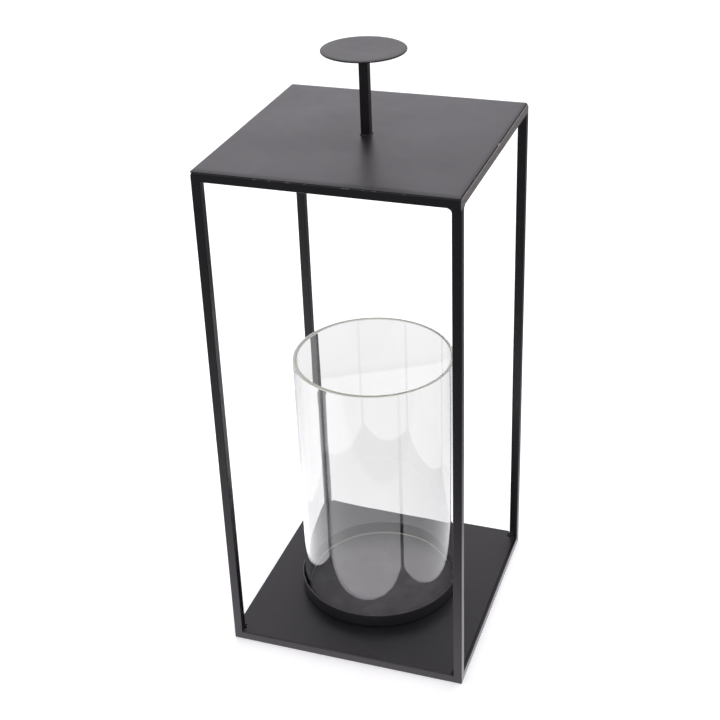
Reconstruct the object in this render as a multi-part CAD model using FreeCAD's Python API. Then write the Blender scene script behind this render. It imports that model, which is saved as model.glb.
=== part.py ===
import FreeCAD, Part
import math
import os

from FreeCAD import Placement, Rotation, Vector

# Hurricane candle lantern: an open frame of welded square steel bar, closed above and
# below by thin steel sheets, with a T-shaped carrying handle on the top sheet and a
# glass cylinder that stands loose in a round tray on the base sheet.
# Millimetres. Origin at the centre of the footprint, on the surface that the lantern
# stands on. +Z up, +X to the right and -Y towards the front.

# Frame
WIDTH = 170.0             # outer width and depth of the frame
FRAME_H = 362.0           # height of the frame, up to the underside of the top sheet
BAR = 6.0                 # side of the square bar
BAR_ARRIS_R = 0.4         # the rolled bar's long edges
TOP_CORNER_R = 1.6        # grinding of each post's outer top edge

# Sheets
SHEET_T = 1.0
TOP_SHEET_W = 169.0       # a little smaller than the frame, so a line of bar shows
TOP_SHEET_SHIFT = -0.4    # welded nearer the front and the left edge
BASE_SHEET_W = 168.0      # width of the base sheet, whose depth is the frame's
BASE_SHEET_SHIFT = -1.0   # flush with the left edge, short of the right one
NOTCH = 7.6               # square notch that clears each post

# Handle
HANDLE_X = -1.2
HANDLE_Y = 0.7
STEM = 6.0                # side of the stem's square bar
STEM_H = 55.0
DISC_R = 27.2
DISC_T = 1.2
DISC_EDGE_R = 0.3
STEM_WELD = 1.4           # leg of the weld around the stem's foot
DISC_WELD = 1.0           # leg of the weld under the disc

# Tray
TRAY_X = -2.7
TRAY_Y = 2.0
TRAY_R = 58.0
TRAY_H = 10.5
TRAY_T = 0.9
TRAY_BEND_R = 1.6         # outer radius of the bend between floor and wall
TRAY_RIM_R = 0.3          # the two edges of the wall's rim

# Glass cylinder, which stands a little off the tray's middle
GLASS_X = -2.3
GLASS_Y = 2.0
GLASS_R = 56.1
GLASS_T = 2.5
GLASS_H = 192.6
GLASS_FOOT_R = 0.4        # small round on the ground foot
GLASS_RIM_R = 1.2         # the melted rim is nearly a full round

# Welds
CORNER_WELD = 3.4         # leg of the concave fillet in the frame's upper inner corners
CORNER_WELD_SMALL = 1.2   # the front left corner is nearly sharp, and so are the lower ones
WELD_TOE = 0.05           # how far a weld's upper edge stands off the stem
TACK_L = 5.0              # length of a tack weld that holds a sheet to the frame
TACK_LEG = 2.0            # leg of the tacks in the angle under a sheet
# Where the tacks sit, as shares of half the side that they are on.
TOP_TACKS = (-0.5, 0.5)
BASE_TACKS = (-0.55, 0.45)
RIGHT_SEAM_TACKS = (-0.62, 0.06, 0.7)
BACK_SEAM_TACKS = (-0.5, 0.45)

# Derived places
HALF = WIDTH / 2.0
INNER = HALF - BAR
BASE_TOP = BAR + SHEET_T
TOP_SHEET_Z = FRAME_H
HANDLE_Z = FRAME_H + SHEET_T
TRAY_FLOOR_Z = BASE_TOP + TRAY_T

UP = Vector(0, 0, 1)


def save(name, shape):
    """Write one sub-part to its own STEP file."""
    shape.exportStep("parts/" + name + ".step")


def box_between(low, high):
    size = [b - a for a, b in zip(low, high)]
    return Part.makeBox(*size, Vector(*low))


def edges_along(shape, direction):
    """The straight edges of a shape that run along one direction."""
    found = []
    for edge in shape.Edges:
        run = edge.lastVertex().Point - edge.firstVertex().Point
        if run.Length > 1e-6 and run.cross(direction).Length < 1e-6 * run.Length:
            found.append(edge)
    return found


def square_bar(low, high, direction):
    """A length of square bar with its long edges slightly rounded."""
    bar = box_between(low, high)
    return bar.makeFillet(BAR_ARRIS_R, edges_along(bar, direction))


def post(side_x, side_y):
    """An upright that runs the whole height of the frame, ground at its outer top corner."""
    xs = sorted((side_x * HALF, side_x * INNER))
    ys = sorted((side_y * HALF, side_y * INNER))
    upright = square_bar((xs[0], ys[0], 0), (xs[1], ys[1], FRAME_H), UP)
    block = 4 * TOP_CORNER_R
    ground = Part.makeBox(block, block, block, Vector(-block / 2, -block / 2, -block / 2))
    # A plane across the outer top corner takes off as much as grinding leaves rounded.
    ground.Placement = Placement(
        Vector(side_x * HALF, side_y * HALF, FRAME_H),
        Rotation(Vector(0, 0, 1), Vector(side_x, side_y, 1)),
    )
    depth = TOP_CORNER_R / math.sqrt(3.0)
    ground.translate(Vector(side_x, side_y, 1).normalize() * (block / 2 - depth))
    return upright.cut(ground)


def cross_bar(along, side, z_low):
    """A bar between two posts: along is the axis it runs on, side the face it lies in."""
    outer = sorted((side * HALF, side * INNER))
    if along == "x":
        low = (-INNER, outer[0], z_low)
        high = (INNER, outer[1], z_low + BAR)
        return square_bar(low, high, Vector(1, 0, 0))
    low = (outer[0], -INNER, z_low)
    high = (outer[1], INNER, z_low + BAR)
    return square_bar(low, high, Vector(0, 1, 0))


def top_sheet():
    half = TOP_SHEET_W / 2.0
    mid = TOP_SHEET_SHIFT
    return box_between(
        (mid - half, mid - half, TOP_SHEET_Z), (mid + half, mid + half, TOP_SHEET_Z + SHEET_T)
    )


def base_sheet():
    """Sheet on top of the lower bars, with a square notch around each post."""
    half = BASE_SHEET_W / 2.0
    mid = BASE_SHEET_SHIFT
    sheet = box_between((mid - half, -HALF, BAR), (mid + half, HALF, BASE_TOP))
    for side_x in (-1, 1):
        for side_y in (-1, 1):
            xs = sorted((side_x * (HALF + 1), side_x * (HALF - NOTCH)))
            ys = sorted((side_y * (HALF + 1), side_y * (HALF - NOTCH)))
            notch = box_between((xs[0], ys[0], 0), (xs[1], ys[1], 2 * BASE_TOP))
            sheet = sheet.cut(notch)
    return sheet


def lathe(points, x, y):
    """Turn a closed outline of (radius, height) points about an upright axis at x, y."""
    wire = Part.makePolygon([Vector(r, 0, z) for r, z in points + points[:1]])
    solid = Part.Face(wire).revolve(Vector(0, 0, 0), UP, 360)
    solid.translate(Vector(x, y, 0))
    return solid


def circle_edges(shape, radius, z):
    """The round edges of one radius at one height."""
    found = []
    for edge in shape.Edges:
        curve = edge.Curve
        if not isinstance(curve, Part.Circle):
            continue
        if abs(curve.Radius - radius) < 1e-4 and abs(curve.Center.z - z) < 1e-4:
            found.append(edge)
    return found


def handle_stem():
    half = STEM / 2.0
    return square_bar(
        (HANDLE_X - half, HANDLE_Y - half, HANDLE_Z),
        (HANDLE_X + half, HANDLE_Y + half, HANDLE_Z + STEM_H),
        UP,
    )


def handle_disc():
    z = HANDLE_Z + STEM_H
    disc = Part.makeCylinder(DISC_R, DISC_T, Vector(HANDLE_X, HANDLE_Y, z))
    rims = circle_edges(disc, DISC_R, z) + circle_edges(disc, DISC_R, z + DISC_T)
    return disc.makeFillet(DISC_EDGE_R, rims)


def stem_weld(z, leg, upward):
    """A weld with a sloping face all round the stem, its flat side at height z."""
    wide = STEM / 2.0 + leg
    narrow = STEM / 2.0
    if upward:
        heights = (z, z + leg)
    else:
        heights = (z, z - leg)
    rings = []
    for half, height in zip((wide, narrow + WELD_TOE), heights):
        corners = [(-half, -half), (half, -half), (half, half), (-half, half), (-half, -half)]
        rings.append(Part.makePolygon([Vector(x, y, height) for x, y in corners]))
    bead = Part.makeLoft(rings, True, True)
    core = box_between((-narrow, -narrow, z - 2 * leg), (narrow, narrow, z + 2 * leg))
    bead = bead.cut(core)
    bead.translate(Vector(HANDLE_X, HANDLE_Y, 0))
    return bead


def tray():
    """Round dish: flat floor, upright wall and a bend of constant thickness between them."""
    z = BASE_TOP
    outline = [
        (0.0, z),
        (TRAY_R, z),
        (TRAY_R, z + TRAY_H),
        (TRAY_R - TRAY_T, z + TRAY_H),
        (TRAY_R - TRAY_T, z + TRAY_T),
        (0.0, z + TRAY_T),
    ]
    dish = lathe(outline, TRAY_X, TRAY_Y)
    dish = dish.makeFillet(TRAY_BEND_R, circle_edges(dish, TRAY_R, z))
    inner = circle_edges(dish, TRAY_R - TRAY_T, z + TRAY_T)
    dish = dish.makeFillet(TRAY_BEND_R - TRAY_T, inner)
    rims = circle_edges(dish, TRAY_R, z + TRAY_H)
    rims += circle_edges(dish, TRAY_R - TRAY_T, z + TRAY_H)
    return dish.makeFillet(TRAY_RIM_R, rims)


def glass_cylinder():
    """Open tube with a melted round rim and a ground foot."""
    z = TRAY_FLOOR_Z
    inside = GLASS_R - GLASS_T
    outline = [
        (inside, z),
        (GLASS_R, z),
        (GLASS_R, z + GLASS_H),
        (inside, z + GLASS_H),
    ]
    tube = lathe(outline, GLASS_X, GLASS_Y)
    foot = circle_edges(tube, GLASS_R, z) + circle_edges(tube, inside, z)
    tube = tube.makeFillet(GLASS_FOOT_R, foot)
    top = z + GLASS_H
    rim = circle_edges(tube, GLASS_R, top) + circle_edges(tube, inside, top)
    return tube.makeFillet(GLASS_RIM_R, rim)


def corner_fillet(leg, side_x, side_y, along, corner_z, down):
    """A concave weld between a post and a bar, across the bar's whole width."""
    block = Part.makeBox(leg, BAR, leg)
    scoop = Part.makeCylinder(leg, BAR + 2, Vector(leg, -1, 0), Vector(0, 1, 0))
    weld = block.cut(scoop)
    # Built for a post on the low X side and a bar above it, then turned into its corner.
    weld.translate(Vector(-INNER, -HALF, corner_z - leg))
    if not down:
        weld = weld.mirror(Vector(0, 0, corner_z), UP)
    if along == "y":
        weld = weld.mirror(Vector(0, 0, 0), Vector(1, -1, 0))
    if side_x > 0:
        weld = weld.mirror(Vector(0, 0, 0), Vector(1, 0, 0))
    if side_y > 0:
        weld = weld.mirror(Vector(0, 0, 0), Vector(0, 1, 0))
    return weld


def corner_welds(corner_z, down):
    """The welds in all eight inner corners of one end of the frame."""
    welds = []
    for side_x in (-1, 1):
        for side_y in (-1, 1):
            for along in ("x", "y"):
                leg = CORNER_WELD_SMALL
                if down and not (side_x < 0 and side_y < 0):
                    leg = CORNER_WELD
                welds.append(corner_fillet(leg, side_x, side_y, along, corner_z, down))
    return Part.makeCompound(welds)


def tack(place, inward, leg, height_sign):
    """A short three-cornered bead in the angle between a level face and an upright one.

    place is the middle of the corner line, inward the way from the upright face.
    """
    run = Vector(inward).cross(UP).normalize()
    start = Vector(place) - run * (TACK_L / 2.0)
    corners = [start, start + Vector(inward) * leg, start + UP * (height_sign * leg), start]
    return Part.Face(Part.makePolygon(corners)).extrude(run * TACK_L)


def under_tacks(shares, z):
    """Tacks under a sheet at height z, against the inner faces of all four bars."""
    beads = []
    for share in shares:
        for side in (-1, 1):
            beads.append(tack((side * INNER, share * INNER, z), (-side, 0, 0), TACK_LEG, -1))
            beads.append(tack((share * INNER, side * INNER, z), (0, -side, 0), TACK_LEG, -1))
    return Part.makeCompound(beads)


def top_seam_tacks():
    """Tacks on the line of bar that shows beside the top sheet's right and back edges."""
    edge = TOP_SHEET_SHIFT + TOP_SHEET_W / 2.0
    reach = HALF - BAR_ARRIS_R - edge
    beads = []
    for share in RIGHT_SEAM_TACKS:
        beads.append(tack((edge, share * HALF, FRAME_H), (1, 0, 0), reach, 1))
    for share in BACK_SEAM_TACKS:
        beads.append(tack((share * HALF, edge, FRAME_H), (0, 1, 0), reach, 1))
    return Part.makeCompound(beads)


def main():
    os.makedirs("parts", exist_ok=True)
    for side_x, name_x in ((-1, "left"), (1, "right")):
        for side_y, name_y in ((-1, "front"), (1, "back")):
            save("post_" + name_y + "_" + name_x, post(side_x, side_y))
    for level, z_low in (("bottom", 0.0), ("top", FRAME_H - BAR)):
        save(level + "_bar_front", cross_bar("x", -1, z_low))
        save(level + "_bar_back", cross_bar("x", 1, z_low))
        save(level + "_bar_left", cross_bar("y", -1, z_low))
        save(level + "_bar_right", cross_bar("y", 1, z_low))
    save("top_sheet", top_sheet())
    save("base_sheet", base_sheet())
    save("handle_stem", handle_stem())
    save("handle_disc", handle_disc())
    save("handle_foot_weld", stem_weld(HANDLE_Z, STEM_WELD, True))
    save("handle_disc_weld", stem_weld(HANDLE_Z + STEM_H, DISC_WELD, False))
    save("tray", tray())
    save("glass_cylinder", glass_cylinder())
    save("top_corner_welds", corner_welds(FRAME_H - BAR, True))
    save("bottom_corner_welds", corner_welds(BAR, False))
    save("top_sheet_tacks", under_tacks(TOP_TACKS, FRAME_H))
    save("top_seam_tacks", top_seam_tacks())
    save("base_sheet_tacks", under_tacks(BASE_TACKS, BAR))


main()
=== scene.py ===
import math

import bmesh
import bpy
from mathutils import Euler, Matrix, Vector, noise


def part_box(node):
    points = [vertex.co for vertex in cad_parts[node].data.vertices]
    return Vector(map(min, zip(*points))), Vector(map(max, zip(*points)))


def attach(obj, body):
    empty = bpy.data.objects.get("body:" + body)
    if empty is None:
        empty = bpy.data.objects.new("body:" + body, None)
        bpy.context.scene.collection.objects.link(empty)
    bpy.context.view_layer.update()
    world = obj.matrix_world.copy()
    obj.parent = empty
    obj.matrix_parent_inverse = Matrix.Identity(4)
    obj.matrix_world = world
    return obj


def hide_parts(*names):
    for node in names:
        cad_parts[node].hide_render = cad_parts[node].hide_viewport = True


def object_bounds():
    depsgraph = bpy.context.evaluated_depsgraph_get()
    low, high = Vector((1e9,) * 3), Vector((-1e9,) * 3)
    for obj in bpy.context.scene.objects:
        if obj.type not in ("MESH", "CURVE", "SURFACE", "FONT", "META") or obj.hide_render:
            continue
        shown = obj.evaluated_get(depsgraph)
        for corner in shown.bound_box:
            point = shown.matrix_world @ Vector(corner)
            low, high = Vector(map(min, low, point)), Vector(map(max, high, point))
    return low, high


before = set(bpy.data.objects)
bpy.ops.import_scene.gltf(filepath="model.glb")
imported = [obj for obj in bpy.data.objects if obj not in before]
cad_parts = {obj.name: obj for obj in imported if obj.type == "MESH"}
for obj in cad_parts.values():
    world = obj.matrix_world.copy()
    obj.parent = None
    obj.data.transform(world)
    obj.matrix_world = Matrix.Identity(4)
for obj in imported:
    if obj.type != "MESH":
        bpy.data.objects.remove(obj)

CAD_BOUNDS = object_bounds()

# The looks of a hurricane candle lantern: a welded frame of square steel bar with sheets
# above and below, all in satin black powder coat, and a clear glass cylinder in a tray.
# Metres, in the frame of the CAD model. MM turns named sizes in millimetres into metres.
MM = 0.001
LANTERN = "lantern"
GLASS = "glass"

# ---------------------------------------------------------------- sizes from the CAD model
POST_LOW, POST_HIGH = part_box("post_front_left")
HALF = -POST_LOW.x
BAR = POST_HIGH.x - POST_LOW.x
INNER = HALF - BAR
FRAME_TOP = POST_HIGH.z
TOP_LOW, TOP_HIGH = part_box("top_sheet")
BASE_LOW, BASE_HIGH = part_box("base_sheet")
STEM_LOW, STEM_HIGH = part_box("handle_stem")
DISC_LOW, DISC_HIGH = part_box("handle_disc")
TRAY_LOW, TRAY_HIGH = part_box("tray")
GLASS_LOW, GLASS_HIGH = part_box("glass_cylinder")

# ---------------------------------------------------------------- sizes that a box doesn't tell
ARRIS = 0.45 * MM            # rounding of the bar's long edges under the paint
GROUND_CORNER = 1.6 * MM     # grinding of the frame's outer top corners
GRID_STEP = 11.0 * MM        # spacing of the mesh along bars and over sheets
STEM_STEP = 5.0 * MM         # and along the stem
SHEET_ROLL = 0.22 * MM       # rounding of the sheared sheets' edges
BACK_CORNER = 1.6 * MM       # rounding of the top sheet's back right corner
SHEAR_DROP = 0.38 * MM       # how far the sheared edges of the top sheet sink
SHEAR_REACH = 3.4 * MM       # how far in from the edge that starts
FRONT_DROP = 0.52 * MM       # the same for the top sheet's front edge
FRONT_REACH = 5.6 * MM
NOTCH = 7.6 * MM             # square notch of the base sheet around each post
STEM_ROUND = 0.6 * MM        # rounding of the stem's long edges
DISC_ROLL = 0.38 * MM        # rounding of the disc's edges
TRAY_T = 0.9 * MM
TRAY_BEND = 1.6 * MM         # outer radius of the bend between floor and wall
TRAY_RIM = 0.42 * MM         # rounding of the two edges of the tray's rim
GLASS_T = 2.5 * MM
GLASS_SPREAD = 0.45 * MM     # how much wider the glass is at its foot
GLASS_WAIST = 0.38 * MM      # how much narrower it is above the spread foot
GLASS_SPREAD_H = 50 * MM     # height from the foot to the narrowest place
GLASS_EVEN_H = 150 * MM      # height above which the glass is straight again
GLASS_FOOT = 0.4 * MM        # rounding of the ground foot
GLASS_RIM = 1.22 * MM        # rounding of the melted rim
BORE_SHIFT = 0.42 * MM       # the bore is off centre, so that the left wall is thicker
WELD_LEG = 3.4 * MM          # fillet in the frame's upper inner corners
SMALL_WELD_LEG = 1.2 * MM    # fillet in its other inner corners
NOTCH_SPOT = 1.7 * MM        # spot of weld between post and base sheet
FOOT_WELD_LEG = 0.9 * MM     # weld round the stem's foot
DISC_WELD_LEG = 0.95 * MM    # weld round its top
SHEET_TACK = (5.0 * MM, 1.9 * MM)    # length and leg of the tacks under a sheet
SEAM_TACK = (4.6 * MM, 0.55 * MM)    # and of those in the top sheet's seam
BARE_TACK = 0.06             # place of the seam tack without paint, as a share of HALF
RIGHT_SEAM = (-0.62, BARE_TACK, 0.7)
BACK_SEAM = (-0.5, 0.45)

# ---------------------------------------------------------------- colours and marks
PAINT_DUST = (0.16, 0.155, 0.15, 1.0)
# Tint of the pale film on level faces: dust, with a painted sheen of the light from above.
DUST_AND_SHEEN_TINT = (0.80, 0.77, 0.82, 1.0)
SHEARED_STEEL = (0.009, 0.009, 0.009, 1.0)
GROUND_STEEL = (0.150, 0.140, 0.132, 1.0)
# Light grey of the painted glints along the front seam.
PAINTED_GLINT_GREY = (0.20, 0.195, 0.20, 1.0)
BARE_WELD = (0.26, 0.20, 0.16, 1.0)
PAINT_SHINE = (0.985, 0.950, 1.0, 1.0)
CLEAR = (1.0, 1.0, 1.0, 1.0)
# Colour of the painted glow on the glass's rims.
PAINTED_GLOW_GREEN = (0.90, 0.945, 0.80, 1.0)
WALL_GREEN = (0.60, 0.85, 0.40, 1.0)
WALL_DENSITY = 3.0           # of that green in the thickness of the glass
GLASS_IOR = 1.62
GLOW_BAND_HEIGHT = 1.3 * MM        # height of the painted glow band at the glass's top rim
GLOW_SHARE_MOST = 0.86              # share of the rims painted as a pale diffuse glow in place of clear glass, at its most
GLOW_SHARE_LEAST = 0.56             # and at its least, on the opposite side
RIM_WAY = (0.80, -0.60, 0.0)  # towards the side where it is least

# ---------------------------------------------------------------- camera and lights
CAMERA_LENS = 69.083
CAMERA_SHIFT = (-0.0159, -0.0656)
CAMERA_PLACE = (0.2763, -0.7839, 0.6727)
CAMERA_HEADING = 19.532      # degrees to the left of straight ahead
CAMERA_DOWN = 27.787         # degrees below level
CAMERA_ROLL = -1.980
SOFTBOX_PLACE = (0.0, 0.1, 1.55)
SOFTBOX_SIZE = 0.6
SOFTBOX_POWER = 9.0
FLOOR_UP = -0.05 * MM        # the floor, just clear of the lower bars
DIM_FLOOR_UP = 0.10 * MM
POOL_UP = 0.15 * MM

# Light in the studio, where 1 is the white of the picture
POOL_LIGHT = 4.8             # reflected floor at the middle of the pool of light
POOL_FALL = 0.124            # distance over which it falls to about a third
POOL_MIDDLE = (0.0, -0.02, 0.0)
POOL_MOST = 1.75             # it gets no brighter than this
POOL_RIGHT = 0.62            # how bright the pool of light is on the right
FAR_LIGHT = 0.24             # reflected floor far away behind the lantern
SIDE_LIGHT = 0.70            # and to its left
BACK_LEFT_LIGHT = 0.95       # and behind it on its left
TABLE_LIGHT = 0.30           # and of all the rest of the table in front
TABLE_WAY = (0.438, -0.899, 0.0)  # towards the front edge of the white table
TABLE_REACH = 0.230          # how far away that edge is
TABLE_EDGE = 0.012           # how wide it looks
BEYOND_TABLE = 0.44          # share of the brightness beyond it, in reflections
BEYOND_GLASS = 0.88          # and through the glass
THROUGH_GLASS = 0.93         # brightness of the floor through the glass
THROUGH_TINT = (1.0, 0.995, 1.012, 1.0)
FRONT_SHARE = 0.16           # how much of the pool of light shows through the glass
FOLD_PLACE = 0.366           # y where the fold in the paper behind the lantern crosses x = 0
FOLD_TURN = -0.56            # how steeply it crosses the floor
FOLD_SHADE = 0.10
LIGHT_TINT = (1.010, 0.985, 1.035, 1.0)
ROOM_SKIRT = 0.98            # brightness of the walls near the floor
ROOM_LOW = 1.24              # and a little above it
ROOM_HIGH = 1.0              # and of the ceiling
ROOM_FRONT = 0.62            # how bright the room is in front, against the back
ROOM_RIGHT = 0.90            # how bright it is on the right, against the left
PANEL_WAY = (-0.325, 0.882, 0.341)  # towards a brighter part of the back wall
PANEL_LIGHT = 0.58


# ---------------------------------------------------------------- mesh helpers
def mid(low, high):
    return (low + high) / 2.0


def round_box(low, high):
    """Radius and middle of a round piece, from the corners of its box."""
    return (high.x - low.x) / 2.0, mid(low, high)


def steps_between(low, high, step):
    """Even cuts from low to high, no further apart than step."""
    count = max(1, math.ceil((high - low) / step))
    return [low + (high - low) * i / count for i in range(count + 1)]


def cuts(marks, step):
    """The marks themselves and even cuts between them, sorted."""
    found = []
    for low, high in zip(marks, marks[1:]):
        found += steps_between(low, high, step)[:-1]
    return found + [marks[-1]]


def everywhere(x, y, z):
    return True


def cell_mesh(xs, ys, zs, is_solid=everywhere):
    """A bmesh of the outside of all grid cells whose middle is_solid says is inside."""
    shape = bmesh.new()
    made = {}

    def corner(i, j, k):
        if (i, j, k) not in made:
            made[i, j, k] = shape.verts.new((xs[i], ys[j], zs[k]))
        return made[i, j, k]

    def filled(i, j, k):
        if not (0 <= i < len(xs) - 1 and 0 <= j < len(ys) - 1 and 0 <= k < len(zs) - 1):
            return False
        return is_solid(
            (xs[i] + xs[i + 1]) / 2, (ys[j] + ys[j + 1]) / 2, (zs[k] + zs[k + 1]) / 2
        )

    sides = (
        ((-1, 0, 0), ((0, 0, 0), (0, 0, 1), (0, 1, 1), (0, 1, 0))),
        ((1, 0, 0), ((1, 0, 0), (1, 1, 0), (1, 1, 1), (1, 0, 1))),
        ((0, -1, 0), ((0, 0, 0), (1, 0, 0), (1, 0, 1), (0, 0, 1))),
        ((0, 1, 0), ((0, 1, 0), (0, 1, 1), (1, 1, 1), (1, 1, 0))),
        ((0, 0, -1), ((0, 0, 0), (0, 1, 0), (1, 1, 0), (1, 0, 0))),
        ((0, 0, 1), ((0, 0, 1), (1, 0, 1), (1, 1, 1), (0, 1, 1))),
    )
    for i in range(len(xs) - 1):
        for j in range(len(ys) - 1):
            for k in range(len(zs) - 1):
                if not filled(i, j, k):
                    continue
                for way, loop in sides:
                    if not filled(i + way[0], j + way[1], k + way[2]):
                        shape.faces.new([corner(i + a, j + b, k + c) for a, b, c in loop])
    shape.normal_update()
    return shape


def sharp_edges(shape, wanted=None):
    """Outward edges where two faces meet, and that wanted (if given) accepts."""
    limit = math.radians(30)
    found = []
    for edge in shape.edges:
        if len(edge.link_faces) == 2 and edge.calc_face_angle_signed() > limit:
            if wanted is None or wanted(edge):
                found.append(edge)
    return found


def round_edges(shape, edges, radius, segments):
    bmesh.ops.bevel(
        shape, geom=edges, offset=radius, offset_type="OFFSET", segments=segments,
        profile=0.5, affect="EDGES", clamp_overlap=True,
    )


def smooth_noise(place, wavelength, seed):
    """A smooth random number from about -1 to 1 at a place."""
    return noise.noise(Vector(place) / wavelength + Vector((seed * 7.3, seed * 3.1, seed * 5.7)))


def bend_like_steel(shape, reach=0.12 * MM):
    """The slight bow that every welded bar and sheet has, the same for all that touch."""
    for vert in shape.verts:
        place = vert.co.copy()
        vert.co.x += reach * smooth_noise(place, 95 * MM, 1)
        vert.co.y += reach * smooth_noise(place, 95 * MM, 2)
        vert.co.z += 0.5 * reach * smooth_noise(place, 80 * MM, 3)


def grid_faces(shape, rows, closed_rows, closed_columns):
    """Quads over rows of vertices. Closed rows join the last row to the first."""
    row_count = len(rows) if closed_rows else len(rows) - 1
    size = len(rows[0])
    column_count = size if closed_columns else size - 1
    for i in range(row_count):
        here = rows[i]
        there = rows[(i + 1) % len(rows)]
        for j in range(column_count):
            n = (j + 1) % size
            shape.faces.new((here[j], here[n], there[n], there[j]))


def capped_tube(shape, rows):
    """Faces along rows of places, with both ends closed."""
    rows = [[shape.verts.new(place) for place in row] for row in rows]
    grid_faces(shape, rows, False, True)
    shape.faces.new(rows[0])
    shape.faces.new(list(reversed(rows[-1])))


def soften(points, segments=5):
    """An outline from (across, up, radius) corners, each rounded to its radius."""
    outline = []
    count = len(points)
    for i in range(count):
        here = Vector(points[i][:2])
        radius = points[i][2]
        if radius == 0:
            outline.append(here)
            continue
        back = (Vector(points[i - 1][:2]) - here).normalized()
        ahead = (Vector(points[(i + 1) % count][:2]) - here).normalized()
        half_angle = back.angle(ahead) / 2.0
        centre = here + (back + ahead).normalized() * (radius / math.sin(half_angle))
        start = here + back * (radius / math.tan(half_angle)) - centre
        end = here + ahead * (radius / math.tan(half_angle)) - centre
        turn = start.angle_signed(end)
        for step in range(segments + 1):
            angle = -turn * step / segments
            outline.append(centre + Vector((
                start.x * math.cos(angle) - start.y * math.sin(angle),
                start.x * math.sin(angle) + start.y * math.cos(angle),
            )))
    return outline


def lathe(outline, centre, count, wobble=None):
    """Turns a closed outline about an upright axis. wobble moves each point a little."""
    shape = bmesh.new()
    rows = []
    for step in range(count):
        angle = 2.0 * math.pi * step / count
        row = []
        for across, up in outline:
            if wobble:
                across, up = wobble(across, up, angle)
            row.append(shape.verts.new((
                centre.x + across * math.cos(angle), centre.y + across * math.sin(angle), up,
            )))
        rows.append(row)
    grid_faces(shape, rows, True, True)
    bmesh.ops.remove_doubles(shape, verts=shape.verts, dist=1e-7)
    bmesh.ops.recalc_face_normals(shape, faces=shape.faces)
    return shape


def finish_piece(name, shape, body, material, replaced):
    """Makes the object, gives it its material and ties it to the CAD model."""
    bmesh.ops.recalc_face_normals(shape, faces=shape.faces)
    for vert in shape.verts:
        for axis in range(3):
            vert.co[axis] = min(max(vert.co[axis], CAD_BOUNDS[0][axis]), CAD_BOUNDS[1][axis])
    for edge in shape.edges:
        if len(edge.link_faces) == 2 and edge.calc_face_angle() > math.radians(55):
            edge.smooth = False
    data = bpy.data.meshes.new(name)
    shape.to_mesh(data)
    shape.free()
    data.polygons.foreach_set("use_smooth", [True] * len(data.polygons))
    piece = bpy.data.objects.new(name, data)
    bpy.context.scene.collection.objects.link(piece)
    data.materials.append(material)
    weighted = piece.modifiers.new("even_normals", "WEIGHTED_NORMAL")
    weighted.weight = 90
    weighted.keep_sharp = True
    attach(piece, body)
    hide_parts(*replaced)
    return piece


# ---------------------------------------------------------------- material helpers
def add(tree, kind, settings=None, **values):
    """Adds a node, sets its properties and unlinked inputs, and links given sockets."""
    node = tree.nodes.new(kind)
    for key, value in (settings or {}).items():
        setattr(node, key, value)
    for key, value in values.items():
        socket = node.inputs[int(key[1:])] if key[0] == "_" else node.inputs[key.replace("_", " ")]
        if isinstance(value, bpy.types.NodeSocket):
            tree.links.new(value, socket)
        else:
            socket.default_value = value
    return node


def fresh_material(name):
    material = bpy.data.materials.new(name)
    material.use_nodes = True
    tree = material.node_tree
    tree.nodes.clear()
    return material, tree


def object_place(tree):
    """The place on a piece, in metres, in the frame of the CAD model."""
    return add(tree, "ShaderNodeTexCoord").outputs["Object"]


def coordinates(tree, where):
    """The x, y and z of a place."""
    return add(tree, "ShaderNodeSeparateXYZ", None, Vector=where).outputs


def math_node(tree, operation, a, b=0.0, c=0.0):
    return add(tree, "ShaderNodeMath", {"operation": operation}, _0=a, _1=b, _2=c).outputs[0]


def vector_math(tree, operation, a, b=(0.0, 0.0, 0.0)):
    """What a vector operation gives, which is a number for DISTANCE and DOT_PRODUCT."""
    node = add(tree, "ShaderNodeVectorMath", {"operation": operation}, _0=a, _1=b)
    return node.outputs["Value" if operation in ("DISTANCE", "DOT_PRODUCT") else "Vector"]


def mix_colour(tree, share, first, second, blend="MIX"):
    """The first colour turned by share into the second. Either may be a constant."""
    return add(
        tree, "ShaderNodeMix", {"data_type": "RGBA", "blend_type": blend}, Factor=share,
        _6=first, _7=second,
    ).outputs[2]


def surface(tree, shader, **more):
    add(tree, "ShaderNodeOutputMaterial", None, Surface=shader.outputs[0], **more)


def remap(tree, value, from_low, from_high, to_low, to_high):
    return add(
        tree, "ShaderNodeMapRange", {"clamp": True}, Value=value, From_Min=from_low,
        From_Max=from_high, To_Min=to_low, To_Max=to_high,
    ).outputs["Result"]


def noise_node(tree, where, size, detail=2.0, roughness=0.5):
    """Noise whose features are about size metres across."""
    return add(
        tree, "ShaderNodeTexNoise", None, Vector=where, Scale=1.0 / size, Detail=detail,
        Roughness=roughness,
    ).outputs["Fac"]


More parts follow.
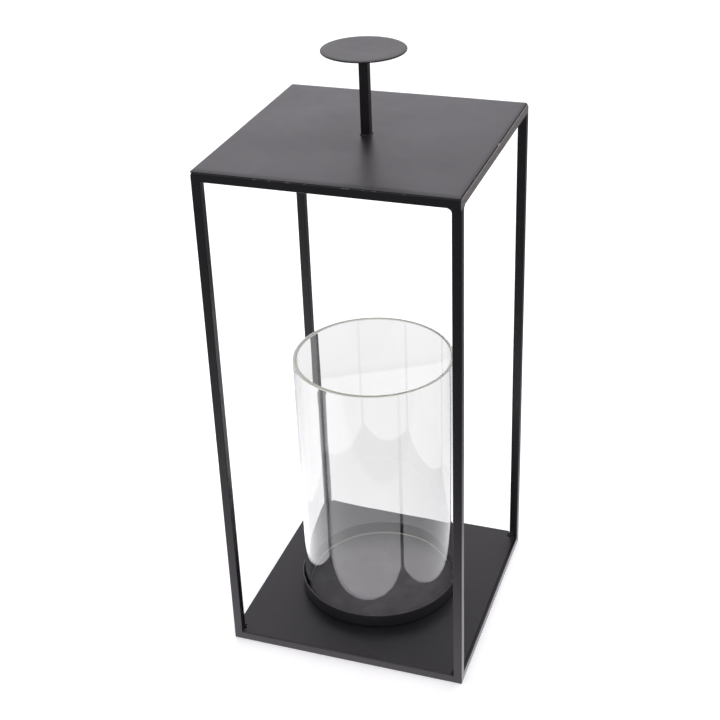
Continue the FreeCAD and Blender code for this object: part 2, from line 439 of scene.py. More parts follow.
# ---------------------------------------------------------------- materials
def paint(name, colour, rough, smudge, peel, ior=1.42, dust_and_sheen=0.0, finish=None, sheared=None):
    """Satin black powder coat.

    smudge is how much its gloss and tone vary from place to place, peel the height of its
    orange peel in metres and dust_and_sheen how pale level faces turn, from dust and from a
    painted sheen of the light above them.
    finish may add marks of its own: it gets the tree, the place and the colour so far.
    sheared is the box of a sheet whose sheared side faces are rough and dark.
    """
    material, tree = fresh_material(name)
    where = object_place(tree)
    broad = noise_node(tree, where, 62 * MM, 3.0, 0.55)
    cloud = noise_node(tree, where, 11 * MM, 4.0, 0.6)
    speckle = noise_node(tree, where, 0.8 * MM)

    # Tone: broad handling marks, a fine mottle and sparse specks of dust.
    mixed = math_node(tree, "MULTIPLY_ADD", broad, 0.6, math_node(tree, "MULTIPLY", cloud, 0.4))
    tone = remap(tree, mixed, 0.35, 0.65, 1.0 - smudge, 1.0 + smudge)
    mottle = remap(tree, speckle, 0.3, 0.7, 0.94, 1.06)
    level = math_node(tree, "MULTIPLY", tone, mottle)
    grey = add(tree, "ShaderNodeCombineColor", None, Red=level, Green=level, Blue=level)
    covered = mix_colour(tree, 1.0, (*colour, 1.0), grey.outputs[0], "MULTIPLY")
    cells = add(
        tree, "ShaderNodeTexVoronoi", {"feature": "F1"}, Vector=where, Scale=1.0 / (7 * MM),
        Randomness=1.0,
    )
    dot = remap(tree, cells.outputs["Distance"], 0.018, 0.045, 1.0, 0.0)
    picked = math_node(tree, "GREATER_THAN", cells.outputs["Color"], 0.62)
    dust = math_node(tree, "MULTIPLY", math_node(tree, "MULTIPLY", dot, picked), 0.30)
    covered = mix_colour(tree, dust, covered, PAINT_DUST)

    # Gloss varies with handling and with the fine mottle.
    gloss = math_node(tree, "MULTIPLY_ADD", mixed, 0.7, math_node(tree, "MULTIPLY", speckle, 0.3))
    roughness = remap(tree, gloss, 0.3, 0.7, rough - 0.5 * smudge, rough + 0.5 * smudge)
    # Orange peel over a finer grain.
    peel_noise = noise_node(tree, where, 1.9 * MM, 1.0, 0.4)
    grain = noise_node(tree, where, 0.32 * MM)
    height = math_node(tree, "MULTIPLY_ADD", grain, 0.22, peel_noise)
    bump = add(tree, "ShaderNodeBump", None, Strength=1.0, Distance=peel, Height=height)

    # Level faces are paled towards a light tint: dust, and a painted sheen of the light from above.
    if dust_and_sheen:
        normal = add(tree, "ShaderNodeNewGeometry").outputs["Normal"]
        level_face = remap(tree, coordinates(tree, normal)[2], 0.90, 0.99, 0.0, 1.0)
        patchy = remap(tree, cloud, 0.3, 0.7, 0.75 * dust_and_sheen, 1.25 * dust_and_sheen)
        covered = mix_colour(
            tree, math_node(tree, "MULTIPLY", level_face, patchy), covered, DUST_AND_SHEEN_TINT
        )
    if finish:
        covered = finish(tree, where, covered)
    if sheared:
        side = sheared_side(tree, where, *sheared)
        covered = mix_colour(tree, side, covered, SHEARED_STEEL)
        roughness = math_node(tree, "MAXIMUM", roughness, math_node(tree, "MULTIPLY", side, 0.7))

    surface(tree, add(
        tree, "ShaderNodeBsdfPrincipled", None, Base_Color=covered,
        Roughness=roughness, Normal=bump.outputs[0], IOR=ior, Specular_Tint=PAINT_SHINE,
    ))
    return material


def sheared_side(tree, where, low, high):
    """1 on the side faces of a sheet with these corners and 0 on its large faces."""
    out = vector_math(tree, "ABSOLUTE", vector_math(tree, "SUBTRACT", where, tuple(mid(low, high))))
    x, y, _ = coordinates(tree, out)
    half = (high - low) / 2.0
    from_x = remap(tree, x, half.x - 0.30 * MM, half.x - 0.12 * MM, 0.0, 1.0)
    from_y = remap(tree, y, half.y - 0.30 * MM, half.y - 0.12 * MM, 0.0, 1.0)
    return math_node(tree, "MAXIMUM", from_x, from_y)


def ground_face_and_painted_glints(tree, where, colour):
    """The right upper bar's ground outer face, and painted glints in dashes along the front seam.
    """
    x, y, z = coordinates(tree, where)
    high = remap(tree, z, FRAME_TOP - BAR - 0.8 * MM, FRAME_TOP - BAR + 0.2 * MM, 0.0, 1.0)
    face = remap(tree, x, HALF - 0.6 * MM, HALF - 0.3 * MM, 0.0, 1.0)
    along = add(tree, "ShaderNodeMapping", None, Vector=where, Scale=(1.0, 0.10, 1.0)).outputs[0]
    scratches = remap(tree, noise_node(tree, along, 0.7 * MM, 3.0, 0.6), 0.3, 0.7, 0.55, 1.15)
    ground = math_node(tree, "MULTIPLY", math_node(tree, "MULTIPLY", high, face), scratches)
    polished = mix_colour(tree, ground, colour, GROUND_STEEL)

    # Painted highlight: a thin light line along the front bar's upper arris under the top sheet,
    # stronger in dashes near the middle, where light glints on it.
    seam = remap(tree, z, FRAME_TOP - 0.50 * MM, FRAME_TOP - 0.35 * MM, 0.0, 1.0)
    front = remap(tree, y, -HALF + 0.7 * MM, -HALF + 0.9 * MM, 1.0, 0.0)
    run = add(tree, "ShaderNodeMapping", None, Vector=where, Scale=(1.0, 0.0, 0.0)).outputs[0]
    dash = remap(tree, noise_node(tree, run, 9.0 * MM, 3.0, 0.7), 0.53, 0.57, 0.0, 1.0)
    middle = remap(tree, math_node(tree, "ABSOLUTE", x), 0.045, 0.060, 0.65, 0.0)
    glint_share = math_node(tree, "MAXIMUM", math_node(tree, "MULTIPLY", dash, middle), 0.10)
    painted_glints = math_node(tree, "MULTIPLY", math_node(tree, "MULTIPLY", seam, front), glint_share)
    return mix_colour(tree, painted_glints, polished, PAINTED_GLINT_GREY)


def bare_tack(tree, where, colour):
    """One tack in the right seam has lost its paint."""
    y = coordinates(tree, where)[1]
    away = math_node(tree, "ABSOLUTE", math_node(tree, "SUBTRACT", y, BARE_TACK * HALF))
    return mix_colour(tree, remap(tree, away, 2.0 * MM, 3.2 * MM, 0.85, 0.0), colour, BARE_WELD)


def clear_glass(name):
    """Clear soda-lime glass with faint drawing lines, and a painted pale green glow along its rims.
    """
    material, tree = fresh_material(name)
    where = object_place(tree)
    upright = add(tree, "ShaderNodeMapping", None, Vector=where, Scale=(1.0, 1.0, 0.035)).outputs[0]
    lines = noise_node(tree, upright, 2.2 * MM)
    ripple = noise_node(tree, where, 26 * MM, 1.0, 0.4)
    height = math_node(tree, "MULTIPLY_ADD", lines, 0.12, ripple)
    bump = add(tree, "ShaderNodeBump", None, Strength=1.0, Distance=0.03 * MM, Height=height)
    wiped = noise_node(tree, upright, 3.5 * MM)
    haze = remap(tree, wiped, 0.50, 0.80, 0.0, 0.05)

    # Painted glow: the two rims trade clearness for a pale green diffuse colour, standing in for
    # the light that runs up and down inside the wall and comes out there. The back left is painted
    # brighter than the front right.
    up = coordinates(tree, where)[2]
    top_glow_band = remap(
        tree, up, GLASS_HIGH.z - GLOW_BAND_HEIGHT, GLASS_HIGH.z - 0.6 * GLOW_BAND_HEIGHT, 0.0, 1.0
    )
    foot_glow_band = remap(tree, up, GLASS_LOW.z + 0.4 * MM, GLASS_LOW.z + 0.9 * MM, 1.35, 0.0)
    radius, middle = round_box(GLASS_LOW, GLASS_HIGH)
    flat = vector_math(tree, "MULTIPLY", where, (1.0, 1.0, 0.0))
    out = vector_math(tree, "DISTANCE", flat, (middle.x, middle.y, 0.0))
    inside = radius - GLASS_T
    outer_half = remap(tree, out, inside + 0.5 * MM, inside + 1.3 * MM, 0.75, 1.0)
    glow_band = math_node(tree, "MAXIMUM", math_node(tree, "MULTIPLY", top_glow_band, outer_half), foot_glow_band)
    turn = vector_math(tree, "DOT_PRODUCT", where, RIM_WAY)
    glow = remap(tree, turn, -radius, radius, GLOW_SHARE_MOST, GLOW_SHARE_LEAST)
    clear = math_node(tree, "SUBTRACT", 1.0, math_node(tree, "MULTIPLY", glow_band, glow))
    shader = add(
        tree, "ShaderNodeBsdfPrincipled", None,
        Base_Color=mix_colour(tree, glow_band, CLEAR, PAINTED_GLOW_GREEN), Roughness=haze,
        Normal=bump.outputs[0], IOR=GLASS_IOR, Transmission_Weight=clear,
    )
    depth = add(
        tree, "ShaderNodeVolumeAbsorption", None, Color=WALL_GREEN, Density=WALL_DENSITY
    )
    surface(tree, shader, Volume=depth.outputs[0])
    return material


# ---------------------------------------------------------------- welded frame
def welded_frame(material):
    """All twelve bars as one weldment, its outer corners ground smooth."""
    marks = [-HALF, -HALF + 2 * MM, -INNER, INNER, HALF - 2 * MM, HALF]
    level_marks = [0.0, 2 * MM, BAR, FRAME_TOP - BAR, FRAME_TOP - 2 * MM, FRAME_TOP]

    def is_bar(x, y, z):
        near_x = abs(x) > INNER
        near_y = abs(y) > INNER
        near_z = z < BAR or z > FRAME_TOP - BAR
        return near_x + near_y + near_z >= 2

    across = cuts(marks, GRID_STEP)
    shape = cell_mesh(across, across, cuts(level_marks, GRID_STEP), is_bar)
    round_edges(shape, sharp_edges(shape), ARRIS, 3)
    for vert in shape.verts:
        grind_corner(vert)
    bend_like_steel(shape)
    replaced = []
    for level in ("front", "back"):
        for side in ("left", "right"):
            replaced.append("post_" + level + "_" + side)
    for level in ("top", "bottom"):
        for side in ("front", "back", "left", "right"):
            replaced.append(level + "_bar_" + side)
    return finish_piece("welded_frame", shape, LANTERN, material, replaced)


def grind_corner(vert):
    """Rounds the frame's outer top corners to a ball."""
    start = HALF - GROUND_CORNER
    out = Vector((abs(vert.co.x) - start, abs(vert.co.y) - start,
                  vert.co.z - (FRAME_TOP - GROUND_CORNER)))
    if min(out) <= 0 or out.length <= GROUND_CORNER:
        return
    out = out.normalized() * GROUND_CORNER
    vert.co.x = math.copysign(start + out.x, vert.co.x)
    vert.co.y = math.copysign(start + out.y, vert.co.y)
    vert.co.z = FRAME_TOP - GROUND_CORNER + out.z


# ---------------------------------------------------------------- sheets
def sheared_marks(low, high, low_reach=SHEAR_REACH):
    """Marks that let a sheet's surface curve down towards its edges."""
    shares = (0.0, 0.16, 0.36, 0.62, 1.0)
    marks = [low + low_reach * share for share in shares]
    return marks + [high - SHEAR_REACH * share for share in reversed(shares)]


def sheared_drop(place, low, high):
    """How far the top sheet's upper face has sunk at a place near its edges."""
    inside = min(place.x - low.x, high.x - place.x, high.y - place.y)
    sides = SHEAR_DROP * max(0.0, 1.0 - inside / SHEAR_REACH) ** 2.4
    front = FRONT_DROP * max(0.0, 1.0 - (place.y - low.y) / FRONT_REACH) ** 2.0
    return max(sides, front)


def top_plate(material):
    shape = cell_mesh(
        cuts(sheared_marks(TOP_LOW.x, TOP_HIGH.x), GRID_STEP),
        cuts(sheared_marks(TOP_LOW.y, TOP_HIGH.y, FRONT_REACH), GRID_STEP),
        [TOP_LOW.z, TOP_HIGH.z],
    )

    def back_right_corner(edge):
        place = mid(edge.verts[0].co, edge.verts[1].co)
        return place.x > TOP_HIGH.x - MM and place.y > TOP_HIGH.y - MM and (
            abs(edge.verts[0].co.z - edge.verts[1].co.z) > 0.5 * MM
        )

    round_edges(shape, sharp_edges(shape, back_right_corner), BACK_CORNER, 5)
    round_edges(shape, sharp_edges(shape), SHEET_ROLL, 3)
    for vert in shape.verts:
        # Shearing has pulled the upper edges down. The front edge wanders a little, and the
        # sheet isn't quite flat.
        if vert.co.z > mid(TOP_LOW.z, TOP_HIGH.z):
            vert.co.z -= sheared_drop(vert.co, TOP_LOW, TOP_HIGH)
        front = max(0.0, 1.0 - (vert.co.y - TOP_LOW.y) / (3 * MM))
        vert.co.y += 0.16 * MM * front * (smooth_noise((vert.co.x, 0, 0), 17 * MM, 5) + 0.3)
        vert.co.z += 0.10 * MM * smooth_noise(vert.co, 60 * MM, 6)
    bend_like_steel(shape)
    return finish_piece("top_plate", shape, LANTERN, material, ["top_sheet"])


def base_plate(material):
    inner = HALF - NOTCH

    def outside_notches(x, y, z):
        return not (abs(x) > inner and abs(y) > inner)

    shape = cell_mesh(
        cuts([BASE_LOW.x, -inner, inner, BASE_HIGH.x], GRID_STEP),
        cuts([BASE_LOW.y, -inner, inner, BASE_HIGH.y], GRID_STEP),
        [BASE_LOW.z, BASE_HIGH.z], outside_notches,
    )
    round_edges(shape, sharp_edges(shape), SHEET_ROLL, 3)
    for vert in shape.verts:
        vert.co.z += 0.05 * MM * smooth_noise(vert.co, 55 * MM, 8)
    bend_like_steel(shape)
    return finish_piece("base_plate", shape, LANTERN, material, ["base_sheet"])


# ---------------------------------------------------------------- handle
def carry_stem(material):
    shape = cell_mesh(
        [STEM_LOW.x, STEM_HIGH.x], [STEM_LOW.y, STEM_HIGH.y],
        cuts([STEM_LOW.z, STEM_HIGH.z], STEM_STEP),
    )

    def upright(edge):
        return abs(edge.verts[0].co.z - edge.verts[1].co.z) > MM

    round_edges(shape, sharp_edges(shape, upright), STEM_ROUND, 4)
    bend_like_steel(shape)
    return finish_piece("carry_stem", shape, LANTERN, material, ["handle_stem"])


def carry_disc(material):
    radius, centre = round_box(DISC_LOW, DISC_HIGH)
    low, high = DISC_LOW.z, DISC_HIGH.z
    tops = [radius - SHEAR_REACH * share for share in (0.30, 0.60, 1.0, 1.6)]
    corners = [(0.0, low, 0.0), (radius * 0.5, low, 0.0), (radius, low, DISC_ROLL),
               (radius, high, DISC_ROLL)]
    corners += [(across, high, 0.0) for across in tops + [radius * 0.4, 0.0]]

    def pressed(across, up, angle):
        # A blanked disc is a little wavy and sinks a hair towards its weld.
        place = (across * math.cos(angle), across * math.sin(angle), 0.0)
        sink = 0.14 * MM * (1.0 - across / radius) ** 2
        if up > mid(low, high):
            edge = max(0.0, 1.0 - (radius - across) / SHEAR_REACH)
            sink += 0.8 * SHEAR_DROP * edge ** 2.4
        return across, up - sink + 0.05 * MM * smooth_noise(place, 30 * MM, 9)

    shape = lathe(soften(corners), centre, 128, pressed)
    return finish_piece("carry_disc", shape, LANTERN, material, ["handle_disc"])


# ---------------------------------------------------------------- tray and glass
def candle_tray(material):
    radius, centre = round_box(TRAY_LOW, TRAY_HIGH)
    low, high = TRAY_LOW.z, TRAY_HIGH.z
    corners = [
        (0.0, low, 0.0), (radius * 0.5, low, 0.0), (radius, low, TRAY_BEND),
        (radius, high, TRAY_RIM), (radius - TRAY_T, high, TRAY_RIM),
        (radius - TRAY_T, low + TRAY_T, TRAY_BEND - TRAY_T), (radius * 0.5, low + TRAY_T, 0.0),
        (0.0, low + TRAY_T, 0.0),
    ]

    def spun(across, up, angle):
        place = (across * math.cos(angle), across * math.sin(angle), up)
        lift = max(0.0, (up - low) / (high - low)) ** 2
        return (across + 0.10 * MM * lift * smooth_noise(place, 42 * MM, 11),
                up + 0.07 * MM * lift * smooth_noise(place, 35 * MM, 12))

    shape = lathe(soften(corners, 6), centre, 160, spun)
    return finish_piece("candle_tray", shape, LANTERN, material, ["tray"])


def spread(up):
    """How much wider than its middle the glass is at a height above its foot."""
    if up < GLASS_SPREAD_H:
        share = 0.5 + 0.5 * math.cos(math.pi * up / GLASS_SPREAD_H)
        return (GLASS_SPREAD + GLASS_WAIST) * share - GLASS_WAIST
    share = min(1.0, (up - GLASS_SPREAD_H) / (GLASS_EVEN_H - GLASS_SPREAD_H))
    return -GLASS_WAIST * (0.5 + 0.5 * math.cos(math.pi * share))


def glass_sleeve(material):
    radius, centre = round_box(GLASS_LOW, GLASS_HIGH)
    low, high = GLASS_LOW.z, GLASS_HIGH.z
    inside = radius - GLASS_T
    wall = steps_between(low + 2 * MM, high - 5 * MM, 5 * MM)
    corners = [(inside, low, GLASS_FOOT), (radius, low, GLASS_FOOT)]
    corners += [(radius, up, 0.0) for up in wall]
    corners += [(radius, high, GLASS_RIM), (inside, high, GLASS_RIM)]
    corners += [(inside, up, 0.0) for up in reversed(wall)]

    def drawn(across, up, angle):
        # Drawn tube: a hair out of round, its wall a little uneven.
        place = (math.cos(angle) * radius, math.sin(angle) * radius, up * 0.2)
        out_of_round = 0.08 * MM * math.cos(2 * angle + 0.7)
        if across < radius - 0.5 * GLASS_T:
            out_of_round += 0.10 * MM * smooth_noise(place, 24 * MM, 14)
            out_of_round += BORE_SHIFT * math.cos(angle)
        return across - 0.08 * MM + out_of_round + spread(up - low), up

    shape = lathe(soften(corners, 8), centre, 224, drawn)
    return finish_piece(
        "glass_sleeve", shape, GLASS, material, ["glass_cylinder"]
    )


# ---------------------------------------------------------------- welds
def fillet_piece(shape, corner, along, away, across, width, leg, seed):
    """A concave weld between a bar that runs along and a post that runs away from it.

    corner is where both inner faces meet, on the frame's outer face; across points inwards.
    """
    turns, strips = 10, 12
    sunk = 0.08 * MM
    rows = []
    for j in range(strips + 1):
        depth = width * j / strips
        to_side = min(depth, width - depth)
        pull = max(0.0, ARRIS - to_side)
        pull = ARRIS - math.sqrt(max(0.0, ARRIS ** 2 - pull ** 2))
        row = [corner + across * depth + (along + away) * -(sunk + pull)]
        for i in range(turns + 1):
            angle = 0.5 * math.pi * i / turns
            uneven = 0.10 * leg * math.sin(2 * angle) * smooth_noise(
                (depth, leg * i / turns, 0), 2.4 * MM, seed
            )
            reach_along = leg * (1.0 - math.sin(angle)) - pull - uneven
            reach_away = leg * (1.0 - math.cos(angle)) - pull - uneven
            if i == 0:
                reach_away -= sunk
            if i == turns:
                reach_along -= sunk
            row.append(corner + across * depth + along * reach_along + away * reach_away)
        rows.append(row)
    capped_tube(shape, rows)


def corner_beads(name, node, level, away_z, material):
    """The welds in the inner corners of the frame's upper or lower end."""
    shape = bmesh.new()
    away = Vector((0, 0, away_z))
    seed = 20
    for side_x in (-1, 1):
        for side_y in (-1, 1):
            leg = SMALL_WELD_LEG
            if away_z < 0 and not (side_x < 0 and side_y < 0):
                leg = WELD_LEG
            on_x = Vector((side_x * INNER, side_y * HALF, level))
            fillet_piece(shape, on_x, Vector((-side_x, 0, 0)), away,
                         Vector((0, -side_y, 0)), BAR, leg, seed)
            on_y = Vector((side_x * HALF, side_y * INNER, level))
            fillet_piece(shape, on_y, Vector((0, -side_y, 0)), away,
                         Vector((-side_x, 0, 0)), BAR, leg, seed + 1)
            if away_z > 0:
                # A spot of weld between the post's inner edge and the sheet's notch.
                foot = Vector((side_x * INNER, side_y * INNER, level - 0.6 * MM))
                bead(shape, foot, foot + away * NOTCH_SPOT, Vector((-side_x, 0, 0)),
                     Vector((0, -side_y, 0)), NOTCH_SPOT, seed)
            seed += 2
    bend_like_steel(shape)
    return finish_piece(name, shape, LANTERN, material, [node])


def bead(shape, start, end, face_a, face_b, leg, seed):
    """A rippled weld bead in the angle between two faces, from start to end.

    face_a and face_b point away from the two faces that the bead lies on.
    """
    rings, turns = 26, 8
    run = end - start
    rows = []
    for j in range(rings + 1):
        share = j / rings
        taper = math.sqrt(max(0.0, 1.0 - (2 * share - 1) ** 4))
        ripple = 1.0 + 0.10 * math.sin(share * run.length / (0.45 * MM)) + 0.22 * smooth_noise(
            (share * run.length, 0, 0), 1.6 * MM, seed
        )
        size = leg * (0.12 + 0.88 * taper * ripple)
        middle = start + run * share
        row = [middle - (face_a + face_b) * 0.1 * MM]
        for i in range(turns + 1):
            angle = 0.5 * math.pi * i / turns
            bulge = 1.0 - 0.22 * math.sin(2 * angle)
            row.append(middle + face_a * (size * bulge * math.cos(angle) - 0.04 * MM)
                       + face_b * (size * bulge * math.sin(angle) - 0.04 * MM))
        rows.append(row)
    capped_tube(shape, rows)


def sheet_tacks(name, node, level, shares, material):
    """Tack welds under a sheet, against the inner faces of the bars."""
    shape = bmesh.new()
    length, leg = SHEET_TACK
    down = Vector((0, 0, -1))
    seed = 60
    for share in shares:
        for side in (-1, 1):
            for along_x in (True, False):
                run = Vector((1, 0, 0)) if along_x else Vector((0, 1, 0))
                inward = Vector((0, -side, 0)) if along_x else Vector((-side, 0, 0))
                place = run * (share * INNER) - inward * INNER + Vector((0, 0, level))
                bead(shape, place - run * length / 2, place + run * length / 2, inward, down,
                     leg, seed)
                seed += 1
    bend_like_steel(shape)
    return finish_piece(name, shape, LANTERN, material, [node])


def seam_tacks(material):
    """Small tacks in the step between the top sheet's edge and the bars below it."""
    shape = bmesh.new()
    up = Vector((0, 0, 1))
    length, leg = SEAM_TACK
    right, back = Vector((1, 0, 0)), Vector((0, 1, 0))
    tacks = [(Vector((TOP_HIGH.x, share * HALF, FRAME_TOP)), back, right) for share in RIGHT_SEAM]
    tacks += [(Vector((share * HALF, TOP_HIGH.y, FRAME_TOP)), right, back) for share in BACK_SEAM]
    for count, (place, along, out) in enumerate(tacks):
        run = along * (length / 2)
        bead(shape, place - run, place + run, out, up, leg, 90 + count)
    bend_like_steel(shape)
    return finish_piece(
        "seam_tack_beads", shape, LANTERN, material, ["top_seam_tacks"]
    )


def stem_bead(name, node, level, up_sign, leg, seed, material):
    """The weld all round one end of the stem."""
    shape = bmesh.new()
    half, centre = round_box(STEM_LOW, STEM_HIGH)
    count, turns = 120, 7
    rows = []
    for step in range(count):
        angle = 2 * math.pi * step / count
        way = Vector((math.cos(angle), math.sin(angle)))
        # The stem's outline in this direction: a square with a small round at its corners.
        reach = half / max(abs(way.x), abs(way.y))
        reach -= STEM_ROUND * 0.41 * max(0.0, 1.0 - (1.414 * half - reach) / (0.3 * half))
        ripple = 1.0 + 0.10 * math.sin(step * 1.9) + 0.30 * smooth_noise(
            (way.x * half, way.y * half, 0), 2.2 * MM, seed
        )
        size = leg * ripple
        row = []
        for i in range(turns + 1):
            turn = 0.5 * math.pi * i / turns
            dip = 1.0 - 0.16 * math.sin(2 * turn)
            across = reach + size * dip * math.cos(turn) - 0.05 * MM
            up = level + up_sign * (size * dip * math.sin(turn) - 0.03 * MM)
            row.append((across, up))
        row.append((reach - 0.4 * MM, row[-1][1]))
        row.append((reach - 0.4 * MM, row[0][1]))
        rows.append([
            shape.verts.new((centre.x + way.x * across, centre.y + way.y * across, up))
            for across, up in row
        ])
    grid_faces(shape, rows, True, True)
    return finish_piece(name, shape, LANTERN, material, [node])


# ---------------------------------------------------------------- studio
def studio_camera():
    """A long lens above the lantern's front right, looking down on it."""
    data = bpy.data.cameras.new("studio_camera")
    data.lens = CAMERA_LENS
    data.sensor_width = 36.0
    data.shift_x, data.shift_y = CAMERA_SHIFT
    data.clip_start = 0.01
    camera = bpy.data.objects.new("studio_camera", data)
    bpy.context.scene.collection.objects.link(camera)
    turn = Euler((0, 0, math.radians(CAMERA_HEADING))).to_matrix()
    tip = Euler((math.radians(90.0 - CAMERA_DOWN), 0, 0)).to_matrix()
    roll = Euler((0, 0, math.radians(CAMERA_ROLL))).to_matrix()
    camera.matrix_world = (turn @ tip @ roll).to_4x4()
    camera.location = CAMERA_PLACE
    bpy.context.scene.camera = camera


def area_light(name, place, target, size, power):
    data = bpy.data.lights.new(name, "AREA")
    data.shape = "SQUARE"
    data.size = size
    data.energy = power
    light = bpy.data.objects.new(name, data)
    bpy.context.scene.collection.objects.link(light)
    light.location = place
    light.rotation_euler = (Vector(target) - Vector(place)).to_track_quat("-Z", "Y").to_euler()
    return light


def stage_mesh(name, verts, faces, material):
    data = bpy.data.meshes.new(name)
    data.from_pydata(verts, [], faces)
    data.materials.append(material)
    thing = bpy.data.objects.new(name, data)
    bpy.context.scene.collection.objects.link(thing)
    return thing


def only_seen_by(card, glossy=False, transmission=False):
    """A studio card that shows only in reflections or only through glass."""
    card.visible_camera = False
    card.visible_diffuse = False
    card.visible_glossy = glossy
    card.visible_transmission = transmission
    card.visible_volume_scatter = False
    card.visible_shadow = False


def floor_square(name, size, up, material):
    corners = [(-size, -size, up), (size, -size, up), (size, size, up), (-size, size, up)]
    return stage_mesh(name, corners, [(0, 1, 2, 3)], material)


def floor_and_cards():
    material, tree = fresh_material("floor_white")
    grain = noise_node(tree, object_place(tree), 30 * MM)
    level = remap(tree, grain, 0.3, 0.7, 0.86, 0.90)
    tint = add(tree, "ShaderNodeCombineColor", None, Red=level, Green=level, Blue=level)
    surface(tree, add(
        tree, "ShaderNodeBsdfPrincipled", None, Base_Color=tint.outputs[0], Roughness=0.9,
        Specular_IOR_Level=0.1, Emission_Color=(1, 1, 1, 1), Emission_Strength=0.35,
    ))
    floor_square("floor", 8.0, FLOOR_UP, material)

    # In reflections the floor is bright around the lantern and falls off with distance,
    # as it does on a lit table in a dark room.
    glow, tree = fresh_material("pool_of_light")
    light = add(
        tree, "ShaderNodeEmission", None, Color=LIGHT_TINT,
        Strength=pool_of_light(tree, object_place(tree)),
    )
    surface(tree, light)
    only_seen_by(floor_square("pool_of_light", 2.5, POOL_UP, glow), glossy=True)

    # Behind the lantern the floor is a little dimmer through the glass than the burnt-out
    # white around it, and it has a soft fold. A little of the pool of light shows in front.
    glow, tree = fresh_material("dim_floor")
    where = object_place(tree)
    x, y, _ = coordinates(tree, where)
    front = remap(tree, y, -0.05, 0.05, FRONT_SHARE, 0.0)
    pool = pool_of_light(tree, where)
    extra = math_node(tree, "MAXIMUM", math_node(tree, "SUBTRACT", pool, THROUGH_GLASS), 0.0)
    level = math_node(tree, "MULTIPLY_ADD", extra, front, fold_in_paper(tree, x, y))
    level = math_node(tree, "MULTIPLY", level, on_table(tree, where, BEYOND_GLASS))
    light = add(tree, "ShaderNodeEmission", None, Color=THROUGH_TINT, Strength=level)
    surface(tree, light)
    only_seen_by(floor_square("dim_floor", 4.0, DIM_FLOOR_UP, glow), transmission=True)


def pool_of_light(tree, where):
    """How bright the lit floor is at a place."""
    x, y, _ = coordinates(tree, where)
    away = vector_math(tree, "DISTANCE", where, POOL_MIDDLE)
    fall = math_node(tree, "EXPONENT", math_node(tree, "MULTIPLY", away, -1.0 / POOL_FALL))
    near = math_node(tree, "MINIMUM", math_node(tree, "MULTIPLY", fall, POOL_LIGHT), POOL_MOST)
    near = math_node(tree, "ADD", near, remap(tree, y, -0.10, -0.05, TABLE_LIGHT, 0.0))
    near = math_node(tree, "MULTIPLY", near, on_table(tree, where, BEYOND_TABLE))
    near = math_node(tree, "MULTIPLY", near, remap(tree, x, 0.08, 0.20, 1.0, POOL_RIGHT))

    behind = remap(tree, y, -0.15, 0.15, 0.0, FAR_LIGHT)
    beside = math_node(
        tree, "MULTIPLY", remap(tree, x, -0.21, -0.05, SIDE_LIGHT, 0.0),
        remap(tree, y, -0.62, -0.30, 0.0, 1.0),
    )
    back_left = math_node(
        tree, "MULTIPLY", remap(tree, y, 0.02, 0.12, 0.0, BACK_LEFT_LIGHT),
        remap(tree, x, -0.12, -0.06, 1.0, 0.0),
    )
    far = math_node(tree, "MAXIMUM", behind, math_node(tree, "MAXIMUM", beside, back_left))
    return math_node(tree, "ADD", near, far)


def on_table(tree, where, beyond):
    """1 on the white table and beyond, which is less, past its front edge."""
    reach = vector_math(tree, "DOT_PRODUCT", where, TABLE_WAY)
    return remap(tree, reach, TABLE_REACH, TABLE_REACH + TABLE_EDGE, 1.0, beyond)


def fold_in_paper(tree, x, y):
    """Brightness of the floor behind, with the soft shade of a fold across it."""
    along = math_node(tree, "MULTIPLY_ADD", x, FOLD_TURN, y)
    beyond = math_node(tree, "SUBTRACT", along, FOLD_PLACE)
    step = remap(tree, beyond, -0.003, 0.003, THROUGH_GLASS, THROUGH_GLASS - FOLD_SHADE)
    crease = remap(tree, beyond, 0.003, 0.020, 0.0, 0.45 * FOLD_SHADE)
    fade = remap(tree, beyond, 0.02, 0.10, 0.0, 0.25 * FOLD_SHADE)
    return math_node(tree, "ADD", step, math_node(tree, "ADD", crease, fade))


def studio_world():
    world = bpy.data.worlds.new("studio_world")
    world.use_nodes = True
    tree = world.node_tree
    tree.nodes.clear()
    # A white room, brightest a little above the floor and behind the lantern, with one
    # paler part of the back wall.
    way = add(tree, "ShaderNodeTexCoord").outputs["Generated"]
    x, y, z = coordinates(tree, way)
    low = remap(tree, z, 0.17, 0.34, ROOM_SKIRT, ROOM_LOW)
    room = math_node(tree, "SUBTRACT", low, remap(tree, z, 0.34, 0.70, 0.0, ROOM_LOW - ROOM_HIGH))
    depth = math_node(
        tree, "MULTIPLY", remap(tree, y, -0.7, 0.5, ROOM_FRONT, 1.0),
        remap(tree, x, -0.36, -0.14, 1.0, ROOM_RIGHT),
    )
    nearness = vector_math(tree, "DOT_PRODUCT", way, PANEL_WAY)
    panel = remap(tree, nearness, 0.975, 0.995, 0.0, PANEL_LIGHT)
    level = math_node(tree, "MULTIPLY_ADD", room, depth, panel)
    # The camera itself sees plain white.
    straight = add(tree, "ShaderNodeLightPath").outputs["Is Camera Ray"]
    light = add(
        tree, "ShaderNodeMix", {"data_type": "FLOAT"}, _0=straight, _2=level, _3=1.0
    ).outputs[0]
    sky = add(tree, "ShaderNodeBackground", None, Color=LIGHT_TINT, Strength=light)
    add(tree, "ShaderNodeOutputWorld", None, Surface=sky.outputs[0])
    bpy.context.scene.world = world
    bpy.context.scene.view_settings.view_transform = "Standard"


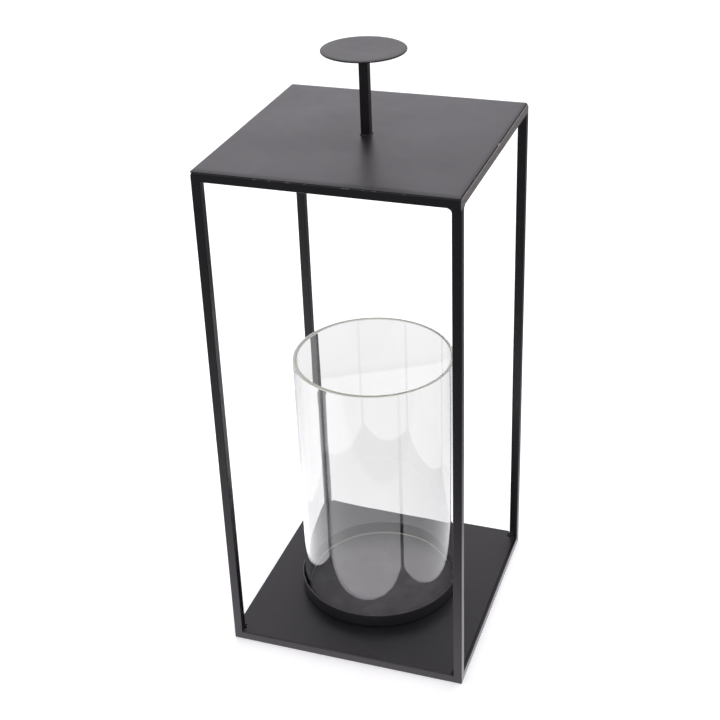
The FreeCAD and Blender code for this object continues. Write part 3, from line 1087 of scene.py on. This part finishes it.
# ---------------------------------------------------------------- put together
def main():
    studio_camera()
    studio_world()
    floor_and_cards()
    area_light("overhead_softbox", SOFTBOX_PLACE, (0, 0, 0), SOFTBOX_SIZE, SOFTBOX_POWER)

    frame_paint = paint(
        "frame_satin_black", (0.0050, 0.0046, 0.0054), rough=0.36, smudge=0.10,
        peel=0.020 * MM, finish=ground_face_and_painted_glints,
    )
    sheet = {"colour": (0.0110, 0.0105, 0.0115), "rough": 0.38, "smudge": 0.14, "peel": 0.016 * MM}
    top_paint = paint("top_sheet_satin_black", dust_and_sheen=0.010, sheared=(TOP_LOW, TOP_HIGH), **sheet)
    base_paint = paint(
        "base_sheet_satin_black", dust_and_sheen=0.006, sheared=(BASE_LOW, BASE_HIGH), **sheet
    )
    handle_paint = paint(
        "handle_satin_black", (0.0070, 0.0066, 0.0074), rough=0.38, smudge=0.10,
        peel=0.018 * MM, ior=1.39,
    )
    # The tray's floor is paled most: dust and a painted sheen.
    tray_paint = paint(
        "tray_satin_black", (0.0180, 0.0172, 0.0188), rough=0.36, smudge=0.08,
        peel=0.014 * MM, dust_and_sheen=0.118,
    )
    weld = {"colour": (0.0090, 0.0084, 0.0090), "rough": 0.46, "smudge": 0.16, "peel": 0.060 * MM}
    weld_paint = paint("weld_satin_black", **weld)
    tack_paint = paint("tack_satin_black", finish=bare_tack, **weld)
    glass = clear_glass("clear_soda_glass")

    welded_frame(frame_paint)
    top_plate(top_paint)
    base_plate(base_paint)
    carry_stem(handle_paint)
    carry_disc(handle_paint)
    candle_tray(tray_paint)
    glass_sleeve(glass)
    corner_beads("upper_corner_beads", "top_corner_welds", FRAME_TOP - BAR, -1, weld_paint)
    corner_beads("lower_corner_beads", "bottom_corner_welds", BAR, 1, weld_paint)
    sheet_tacks("top_tack_beads", "top_sheet_tacks", FRAME_TOP, (-0.5, 0.5), weld_paint)
    sheet_tacks("base_tack_beads", "base_sheet_tacks", BASE_LOW.z, (-0.55, 0.45), weld_paint)
    seam_tacks(tack_paint)
    stem_bead("stem_foot_bead", "handle_foot_weld", STEM_LOW.z, 1, FOOT_WELD_LEG, 101, weld_paint)
    stem_bead("disc_bead", "handle_disc_weld", STEM_HIGH.z, -1, DISC_WELD_LEG, 103, weld_paint)


main()
